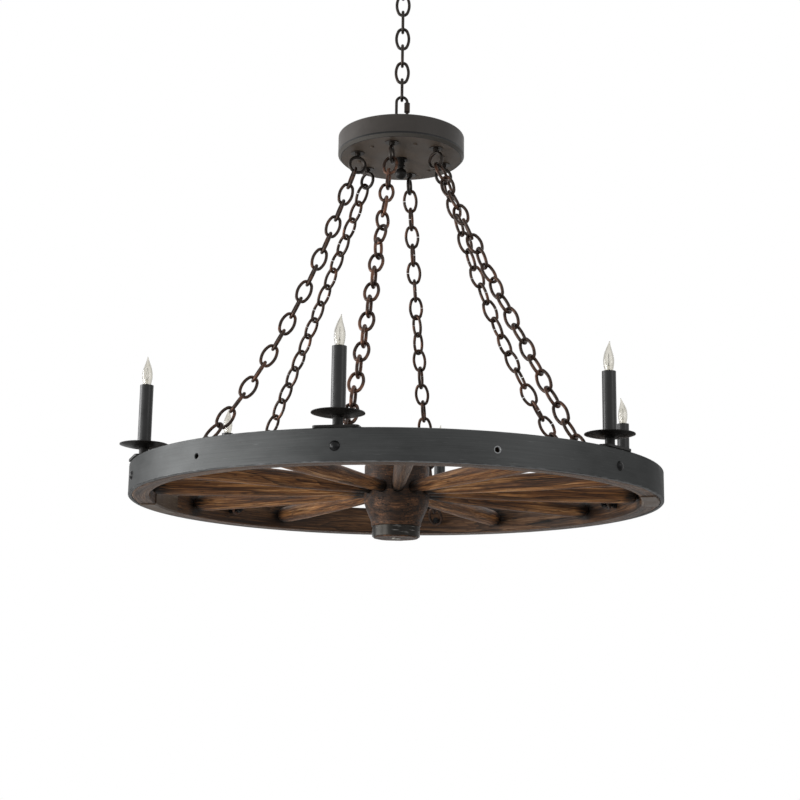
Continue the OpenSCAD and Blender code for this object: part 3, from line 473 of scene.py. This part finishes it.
def extruded_stick(name, stations, sides):
    """A stick along +X from rings at (place, half width, half thickness, sideways shift), all in metres."""
    bpy.ops.object.select_all(action="DESELECT")
    place, width, thickness, shift = stations[0]
    bpy.ops.mesh.primitive_circle_add(vertices=sides, radius=1.0, fill_type="NGON",
                                      location=(place, 0, shift), rotation=(0, math.pi / 2, 0))
    piece = bpy.context.active_object
    piece.name = name
    bpy.ops.object.transform_apply(location=True, rotation=True, scale=True)
    bpy.ops.object.mode_set(mode="EDIT")
    bpy.ops.mesh.select_all(action="SELECT")
    bpy.ops.transform.resize(value=(1, width, thickness), center_override=(place, 0, shift))
    for before, after in zip(stations, stations[1:]):
        bpy.ops.mesh.extrude_region_move(
            TRANSFORM_OT_translate={"value": (after[0] - before[0], 0, after[3] - before[3])})
        bpy.ops.transform.resize(value=(1, after[1] / before[1], after[2] / before[2]),
                                 center_override=(after[0], 0, after[3]))
    bpy.ops.mesh.select_all(action="SELECT")
    bpy.ops.mesh.normals_make_consistent(inside=False)
    bpy.ops.object.mode_set(mode="OBJECT")
    return piece


def standing_stick(name, stations, sides):
    """The same stick, turned to run along +Z. Its sideways shifts go along -X."""
    piece = extruded_stick(name, stations, sides)
    only(piece)
    piece.rotation_euler = (0, -math.pi / 2, 0)
    bpy.ops.object.transform_apply(location=True, rotation=True, scale=True)
    return piece


def joined(pieces):
    """Joins the pieces into the first of them."""
    bpy.ops.object.select_all(action="DESELECT")
    for piece in pieces:
        piece.select_set(True)
    bpy.context.view_layer.objects.active = pieces[0]
    if len(pieces) > 1:
        bpy.ops.object.join()
    return pieces[0]


def roughen(piece, size, depth, stretch, start=0.0, mid=0.5):
    """Wears a surface into soft hollows of that size, drawn out by stretch. start picks the pattern."""
    bpy.ops.object.empty_add(location=(start, 0, 0))
    ruler = bpy.context.active_object
    ruler.scale = stretch
    bpy.context.view_layer.update()
    texture = bpy.data.textures.new(piece.name + "_wear", "CLOUDS")
    texture.noise_scale = size
    texture.noise_depth = 2
    apply_modifier(piece, "DISPLACE", texture=texture, strength=depth, mid_level=mid,
                   texture_coords="OBJECT", texture_coords_object=ruler)
    bpy.data.objects.remove(ruler)


def set_grain(piece, rule):
    """Writes the grain attribute: rule turns a point into (along, across, across) in metres."""
    layer = piece.data.attributes.new("grain", "FLOAT_VECTOR", "POINT")
    values = []
    for vertex in piece.data.vertices:
        values.extend(rule(vertex.co))
    layer.data.foreach_set("vector", values)


def set_stain_and_shade(piece, rule):
    """Writes the attribute of stain and painted shade: rule turns a point into the darkening there, 0 to 1.
    """
    layer = piece.data.attributes.new("stain_and_shade", "FLOAT", "POINT")
    values = [min(1.0, max(0.0, rule(vertex.co))) for vertex in piece.data.vertices]
    layer.data.foreach_set("value", values)


def stand(piece, spot, turned=0.0):
    """Turns a piece about Z and moves it to its spot, with its place kept in the mesh."""
    only(piece)
    piece.rotation_euler = (0, 0, turned)
    piece.location = spot
    bpy.ops.object.transform_apply(location=True, rotation=True, scale=True)


def finish_piece(piece, material, body, replaced=(), sharp_degrees=35):
    """Gives a modelled piece its material, smooth shading and body, and hides the CAD nodes it stands for.
    """
    piece.data.materials.clear()
    piece.data.materials.append(material)
    only(piece)
    bpy.ops.object.shade_smooth_by_angle(angle=math.radians(sharp_degrees))
    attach(piece, body)
    if replaced:
        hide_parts(*replaced)
    return piece


print("modelling helpers ready")

# %% [markdown]
# ## Twelve spokes
#
# Each spoke leaves the hub slim, swells towards the rim, and ends in a round shoulder with a thinner tongue
# that goes into the felloe. It is modelled once, and each copy is worn differently before it is turned into
# its place. The first spoke stands at the front of the wheel, and is given the felloes' darker wood as
# painted shade.

# %% Spokes
wheel_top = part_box("felloe_front")[1][2]
rim_middle = (wheel_low + wheel_top) / 2
hub_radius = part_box("hub")[1][0]
felloe_inside = 563 * MM
spoke_bearings = [-87.8 + 30 * i for i in range(12)]
heart_distance, heart_turn, heart_step = 0.07, 2.4, 0.9
hub_stain_and_shade_to, rim_stain_and_shade_from = 0.138, 0.510
spoke_stations = [
    (hub_radius - 22 * MM, 11.0 * MM, 11.0 * MM, 0),
    (hub_radius - 6 * MM, 12.4 * MM, 12.4 * MM, 0),
    (hub_radius + 20 * MM, 13.2 * MM, 13.6 * MM, 0),
    (0.150, 15.6 * MM, 16.4 * MM, 0),
    (0.215, 17.0 * MM, 18.2 * MM, 0),
    (0.290, 18.9 * MM, 19.9 * MM, 0),
    (0.370, 20.1 * MM, 20.8 * MM, 0),
    (0.450, 20.8 * MM, 21.2 * MM, 0),
    (0.515, 20.9 * MM, 21.0 * MM, 0),
    (0.540, 20.4 * MM, 20.5 * MM, 0),
    (0.5520, 18.6 * MM, 18.6 * MM, 0),
    (0.5565, 16.2 * MM, 16.2 * MM, 0),
    (0.5580, 12.6 * MM, 12.6 * MM, 0),
    (0.5588, 10.3 * MM, 10.3 * MM, 0),
    (felloe_inside + 8 * MM, 10.0 * MM, 10.0 * MM, 0),
]
plain_spoke = extruded_stick("plain_spoke", spoke_stations, 16)
apply_modifier(plain_spoke, "SUBSURF", levels=2, render_levels=2)
spokes = []
for number, bearing in enumerate(spoke_bearings):
    spoke = plain_spoke.copy()
    spoke.data = plain_spoke.data.copy()
    spoke.name = f"spoke_{number + 1}"
    bpy.context.scene.collection.objects.link(spoke)
    roughen(spoke, 0.011, 1.6 * MM, (14, 1, 1), start=3.7 * number)
    heart = (heart_distance * math.cos(heart_turn * number), heart_distance * math.sin(heart_turn * number))
    set_grain(spoke, lambda p, n=number, h=heart: (p.x + heart_step * n, p.y + h[0], p.z + h[1]))
    # Both ends of a spoke darken: stain, and painted shade where it goes into the hub and the felloe.
    set_stain_and_shade(spoke, lambda p: max((p.x - rim_stain_and_shade_from) / 0.035, (hub_stain_and_shade_to - p.x) / 0.045))
    stand(spoke, (0, 0, rim_middle), math.radians(bearing))
    # The front spoke takes the felloes' darker wood: painted shade.
    wood = spoke_wood if number else felloe_and_shaded_spoke_wood
    spokes.append(finish_piece(spoke, wood, "fixture", ["spokes"]))
bpy.data.objects.remove(plain_spoke)
print("spokes:", len(spokes), "with", len(spokes[0].data.polygons), "faces each")

# %% [markdown]
# ## Two steam-bent felloes
#
# A wheelwright bends each half of the rim from one straight bar, so the grain runs round the wheel. The
# same is done here. A straight bar is modelled, its corners are worn round, the holes for spokes, bolts and
# candles are drilled, and the grain is written down while the bar is still straight. Only then is it bent
# to a half circle.

# %% Felloes
felloe_outside = 602 * MM - 0.1 * MM
bend_radius = (felloe_inside + felloe_outside) / 2
bar_depth = felloe_outside - felloe_inside
bar_height = wheel_top - wheel_low
bar_length = math.pi * bend_radius - 0.4 * MM
joint_bearing = -101.5
bolt_height = wheel_low + bolt_rise - rim_middle
tongue_hole, bolt_hole, candle_hole, empty_hole = 10.6 * MM, 4.3 * MM, 9 * MM, 5 * MM
candle_inset, candle_floor = 23.5 * MM, 24.5 * MM


def subdivide_along(piece, axis, cuts, longer_than):
    """Cuts every long edge that runs along the axis into equal lengths."""
    only(piece)
    bpy.context.tool_settings.mesh_select_mode = (False, True, False)
    for element in (*piece.data.vertices, *piece.data.edges, *piece.data.polygons):
        element.select = False
    for edge in piece.data.edges:
        start, end = (piece.data.vertices[i].co for i in edge.vertices)
        edge.select = abs(end[axis] - start[axis]) > longer_than
    bpy.ops.object.mode_set(mode="EDIT")
    bpy.ops.mesh.subdivide(number_cuts=cuts)
    bpy.ops.object.mode_set(mode="OBJECT")
    bpy.context.tool_settings.mesh_select_mode = (True, False, False)


def drill(piece, holes):
    """Cuts round holes: each is (start point, end point, radius)."""
    bpy.ops.object.select_all(action="DESELECT")
    cutters = []
    for start, end, radius in holes:
        start, end = mathutils.Vector(start), mathutils.Vector(end)
        turned = (end - start).to_track_quat("Z", "Y").to_euler()
        bpy.ops.mesh.primitive_cylinder_add(vertices=32, radius=radius, depth=(end - start).length,
                                            location=(start + end) / 2, rotation=turned)
        cutters.append(bpy.context.active_object)
    cutter = joined(cutters)
    bpy.ops.object.transform_apply(location=True, rotation=True, scale=True)
    apply_modifier(piece, "BOOLEAN", operation="DIFFERENCE", object=cutter, solver="EXACT")
    bpy.data.objects.remove(cutter)


def felloe(name, middle_bearing):
    """One half of the wooden rim, bent about the wheel's axis with its middle at that bearing."""
    bpy.ops.object.select_all(action="DESELECT")
    bpy.ops.mesh.primitive_cube_add(size=1, scale=(bar_length, bar_depth, bar_height))
    bar = bpy.context.active_object
    bar.name = name
    bpy.ops.object.transform_apply(location=True, rotation=True, scale=True)
    bpy.ops.object.mode_set(mode="EDIT")
    bpy.ops.mesh.select_all(action="SELECT")
    bpy.ops.mesh.bevel(offset=2.6 * MM, segments=2, affect="EDGES")
    bpy.ops.object.mode_set(mode="OBJECT")
    subdivide_along(bar, 0, 149, bar_length / 2)
    subdivide_along(bar, 1, 3, bar_depth / 2)
    subdivide_along(bar, 2, 5, bar_height / 2)
    roughen(bar, 0.013, 1.4 * MM, (16, 1, 1), start=middle_bearing, mid=0.75)

    def along(bearing):
        """Where a bearing on the wheel lies on the straight bar."""
        offset = (bearing - middle_bearing + 180) % 360 - 180
        return math.radians(offset) * bend_radius

    def on_bar(bearings):
        """The places of those bearings that lie on this half."""
        return [along(b) for b in bearings if abs(along(b)) < bar_length / 2 + 5 * MM]

    deep, outer, inner = 60 * MM, -bar_depth / 2, bar_depth / 2
    candle = inner - candle_inset
    mortises = on_bar(spoke_bearings)
    holes = [((x, inner + 5 * MM, 0), (x, inner - 20 * MM, 0), tongue_hole) for x in mortises]
    for x in on_bar([first_bolt + 60 * i for i in range(6)]):
        holes.append(((x, -deep, bolt_height), (x, deep, bolt_height), bolt_hole))
        holes.append(((x, candle, candle_floor), (x, candle, deep), candle_hole))
    for x in on_bar([first_bolt + 30 + 60 * i for i in range(6)]):
        holes.append(((x, outer - 5 * MM, bolt_height), (x, outer + 18 * MM, bolt_height), empty_hole))
    drill(bar, holes)
    set_grain(bar, lambda p: (p.x + middle_bearing / 20, p.y + 0.06, p.z + 0.03))
    # Round each mortise the felloe darkens: stain, and painted shade where the spoke goes in.
    set_stain_and_shade(bar, lambda p: max(1.6 - math.hypot(p.x - m, p.z, p.y - inner) / (26 * MM) for m in mortises))
    apply_modifier(bar, "SIMPLE_DEFORM", deform_method="BEND", deform_axis="Z",
                   angle=bar_length / bend_radius)
    stand(bar, (0, -bend_radius, 0))
    stand(bar, (0, 0, rim_middle), math.radians(middle_bearing + 90))
    return bar


rim = [finish_piece(felloe("front_felloe", joint_bearing), felloe_and_shaded_spoke_wood, "fixture",
                    ["felloe_front"]),
       finish_piece(felloe("back_felloe", joint_bearing + 180), felloe_and_shaded_spoke_wood, "fixture",
                    ["felloe_back"])]
print("felloes:", [len(piece.data.polygons) for piece in rim], "faces")

# %% [markdown]
# ## The hub
#
# The hub was turned from one block, with its grain across the axle, so its yearly rings lie on it like
# contour lines. Below the spokes it narrows to a nose, and an iron band is driven over each end. The block
# is extruded ring by ring up the axis, as the spokes were, and a mortise is drilled for every spoke.

# %% Hub
hub_low, hub_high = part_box("hub")[0][2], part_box("hub")[1][2]
band_radius = 52 * MM
nose_radius = 57.5 * MM
barrel_radius = 75 * MM
band_space = 27 * MM
mortise_radius, bore_radius = 13.8 * MM, 10.1 * MM
hub_stations = [
    (hub_low, band_radius - 2 * MM),
    (hub_low + 1.2 * MM, band_radius - 0.5 * MM),
    (hub_low + 3 * MM, band_radius),
    (hub_low + band_space, band_radius),
    (hub_low + band_space + 0.1 * MM, nose_radius - 1 * MM),
    (hub_low + band_space + 1.5 * MM, nose_radius),
    (hub_low + band_space + 9 * MM, nose_radius + 0.6 * MM),
    (hub_low + band_space + 17 * MM, nose_radius + 3.2 * MM),
    (hub_low + band_space + 27 * MM, nose_radius + 7.8 * MM),
    (hub_low + band_space + 39 * MM, nose_radius + 12.8 * MM),
    (hub_low + band_space + 50 * MM, nose_radius + 15.9 * MM),
    (hub_low + band_space + 58 * MM, hub_radius - 0.8 * MM),
    (hub_low + band_space + 66 * MM, hub_radius),
    (rim_middle, hub_radius),
    (wheel_top - 4 * MM, hub_radius),
    (wheel_top, barrel_radius),
    (hub_high - band_space - 2 * MM, barrel_radius),
    (hub_high - band_space - 0.1 * MM, barrel_radius - 1 * MM),
    (hub_high - band_space, 70 * MM),
    (hub_high - 2 * MM, 70 * MM),
    (hub_high, 68 * MM),
]
hub = standing_stick("turned_hub", [(height, r, r, 0) for height, r in hub_stations], 72)
subdivide_along(hub, 2, 3, 7 * MM)
roughen(hub, 0.010, 1.5 * MM, (1, 1, 5), mid=0.7)
mortises = []
for bearing in map(math.radians, spoke_bearings):
    outward = mathutils.Vector((math.cos(bearing), math.sin(bearing), 0))
    level = mathutils.Vector((0, 0, rim_middle))
    mortises.append((level + outward * (hub_radius - 23 * MM), level + outward * (hub_radius + 5 * MM),
                     mortise_radius))
drill(hub, mortises + [((0, 0, hub_low - 5 * MM), (0, 0, hub_high + 5 * MM), bore_radius)])
mouths = [start.lerp(end, 0.82) for start, end, _ in mortises]
set_grain(hub, lambda p: (p.x + 0.5, p.y + 0.012, p.z - hub_low + 0.06))
# Round each mortise mouth the hub darkens: stain, and painted shade where the spoke goes in.
set_stain_and_shade(hub, lambda p: max(1.6 - (p - mouth).length / (17 * MM) for mouth in mouths))
finish_piece(hub, hub_wood, "fixture", ["hub"])
print("hub:", len(hub.data.polygons), "faces")

# %% [markdown]
# ## Glass, wire and tungsten
#
# The bulbs are blown soda glass, 0.6 millimetres thick. Clear glass shows itself by its darker outline.
# Part of it comes by itself when a thin wall is given transmission and the refraction of glass. The rest is
# painted shade: a greyer tint where the wall is seen edge on. The lead wires and filaments are dull nickel
# or bare tungsten.

# %% Bulb materials
clear_glass, tree, shader = new_material("blown_clear_glass", "#e2e0d8", roughness=0.0, IOR=1.5,
                                         Transmission_Weight=1.0)
place = add(tree, "ShaderNodeTexCoord").outputs["Object"]
breath = noise_of(tree, place, 14, 2, 0.5)
breath = add(tree, "ShaderNodeValToRGB", {"Fac": breath}, stops=[(0.35, "#e6e4dd"), (0.65, "#f0eee9")])
# Painted shade: the glass turns greyer where its wall is seen edge on.
painted_edge_shade = add(tree, "ShaderNodeLayerWeight", values={"Blend": 0.3}).outputs["Facing"]
outline = add(tree, "ShaderNodeMix", {"A": breath.outputs["Color"], "Factor": painted_edge_shade},
              {"B": colour("#8e8b82")}, data_type="RGBA")
tree.links.new(outline.outputs["Result"], shader.inputs["Base Color"])
nickel = rubbed_bronze("nickel_lead_wire", "#5d5a55", "#7c7972", "#6b6459", metallic=0.9, roughness=0.35)
tungsten = rubbed_bronze("bare_tungsten", "#4b4946", "#63605b", "#55504a", metallic=1.0, roughness=0.45)
print("bulb materials ready")

# %% [markdown]
# ## Six flame bulbs
#
# The glass swells quickly above its neck and runs out to a point that is bent aside, as it was pinched off
# hot. A ring is extruded upwards through the outline, and the last rings are shifted sideways for the bent
# tip. A Solidify modifier gives the closed skin its wall. Inside stand the glass stem with its flattened
# end, two lead wires, and the long filament that hangs over a hook between them.

# %% Bulbs
bulb_outline = [
    (-4.0, 5.2), (0.2, 5.5), (0.9, 7.2), (2.6, 8.7), (7.0, 9.9), (13.0, 11.0), (19.0, 11.7),
    (26.0, 11.8), (33.0, 10.9), (40.0, 9.2), (47.0, 6.9), (53.0, 4.8), (58.0, 3.0), (61.5, 1.9),
    (64.5, 1.35), (66.5, 0.9),
]
stem_outline = [(-3.6, 4.6), (1.0, 4.4), (3.5, 2.6), (7.0, 1.9), (11.0, 1.8), (12.4, 2.7), (14.0, 2.6),
                (15.0, 1.2)]
tip_shifts = (-0.8, 3.0, 2.7, -5.0, 2.5, 2.0)
socket_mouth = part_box("candle_sockets")[1][2]


def upright(name, outline, sides, lean=0.0, lean_from=40.0):
    """A round piece standing on z = 0 from (height, radius) in millimetres, its top leaning along X."""
    highest = outline[-1][0]
    stations = []
    for height, radius in outline:
        share = max(0.0, (height - lean_from) / (highest - lean_from))
        stations.append((height * MM, radius * MM, radius * MM, -lean * share ** 1.8 * MM))
    return standing_stick(name, stations, sides)


def wire(name, points, radius, sides=6):
    """A thin wire that runs upwards through points in millimetres."""
    return standing_stick(name, [(z * MM, radius * MM, radius * MM, -x * MM) for x, z in points], sides)


for k, shift in zip(six, tip_shifts):
    low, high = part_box(f"candle_sleeve_{k}")
    spot = ((low[0] + high[0]) / 2, (low[1] + high[1]) / 2, socket_mouth)
    glass = upright(f"bulb_skin_{k}", bulb_outline, 32, lean=shift)
    apply_modifier(glass, "SUBSURF", levels=2, render_levels=2)
    apply_modifier(glass, "SOLIDIFY", thickness=0.6 * MM, offset=-1.0)
    stand(glass, spot)
    finish_piece(glass, clear_glass, f"bulb_{k}", [f"bulb_glass_{k}"], sharp_degrees=60)
    stem = upright(f"bulb_stem_{k}", stem_outline, 16)
    stand(stem, spot)
    finish_piece(stem, clear_glass, f"bulb_{k}", sharp_degrees=60)
    parts = []
    for side in (-1, 1):
        leg = [(side * 1.0, 13.0), (side * 1.6, 17.0), (side * 3.4, 21.0), (side * 3.8, 22.0)]
        parts.append(wire("lead", leg, 0.35))
        coil = [(side * (3.8 - 0.16 * i) + 0.35 * (-1) ** i, 22.0 + 0.85 * i) for i in range(22)]
        parts.append(wire("coil", coil, 0.2, 5))
    parts.append(wire("hook", [(0, 14.0), (0.3, 25.0), (0, 40.5)], 0.22))
    filament = joined(parts)
    filament.name = f"bulb_filament_{k}"
    stand(filament, spot, turned=0.6 * k)
    finish_piece(filament, tungsten if k % 2 else nickel, f"bulb_{k}")
print("bulbs: 6, each of skin, stem and filament")

# %% [markdown]
# ## The room
#
# A plain pale floor lies well below the lamp, and the world is a white studio. The world shows full white
# to the camera, to metal and to glass, and gives the object a softer light. A wide lamp on the left just
# above the rim, a lower one nearer to the camera, and a weak one high on the right bring out the rounds, at
# a level where a colour renders as it is written.

# %% Floor, world and lights
floor_level = wheel_low - 2.0
bpy.ops.object.select_all(action="DESELECT")
bpy.ops.mesh.primitive_plane_add(size=14, location=(0, 0, floor_level))
floor = bpy.context.active_object
floor.name = "studio_floor"
bpy.ops.object.transform_apply(location=True, rotation=True, scale=True)
floor_paint, tree, shader = new_material("matt_floor_paint", "#eeeeec", roughness=0.9)
floor.data.materials.append(floor_paint)

bpy.context.scene.view_settings.view_transform = "Standard"
world = bpy.data.worlds.new("white_studio")
bpy.context.scene.world = world
world.use_nodes = True
tree = world.node_tree
paths = add(tree, "ShaderNodeLightPath")
seen = add(tree, "ShaderNodeMath", {0: paths.outputs["Is Camera Ray"], 1: paths.outputs["Is Glossy Ray"]},
           operation="MAXIMUM")
seen = add(tree, "ShaderNodeMath", {0: seen.outputs["Value"], 1: paths.outputs["Is Transmission Ray"]},
           operation="MAXIMUM")
strength = add(tree, "ShaderNodeMapRange", {"Value": seen.outputs["Value"]}, {"To Min": 0.39})
background = tree.nodes["Background"]
background.inputs["Color"].default_value = (1, 1, 1, 1)
tree.links.new(strength.outputs["Result"], background.inputs["Strength"])


def soft_lamp(name, spot, size, watts):
    """A square area lamp at a spot, aimed at the middle of the wheel and not seen through the bulbs."""
    data = bpy.data.lights.new(name, "AREA")
    data.shape = "SQUARE"
    data.size = size
    data.energy = watts
    lamp = bpy.data.objects.new(name, data)
    lamp.location = spot
    aim = mathutils.Vector((0, 0, rim_middle + 0.3)) - mathutils.Vector(spot)
    lamp.rotation_euler = aim.to_track_quat("-Z", "Y").to_euler()
    lamp.visible_transmission = False
    bpy.context.scene.collection.objects.link(lamp)


soft_lamp("left_softbox", (-3.25, 0.15, rim_middle + 0.5), 1.9, 94)
soft_lamp("low_left_softbox", (-2.95, -2.06, rim_middle - 0.5), 1.2, 80)
soft_lamp("right_softbox", (3.0, -2.4, rim_middle + 1.2), 1.6, 18)
print("room: floor, white world and three soft lamps")

# %% [markdown]
# ## The end of the scene
#
# The visual model has to stay inside the box of the construction.

# %% The end
print("scene built")
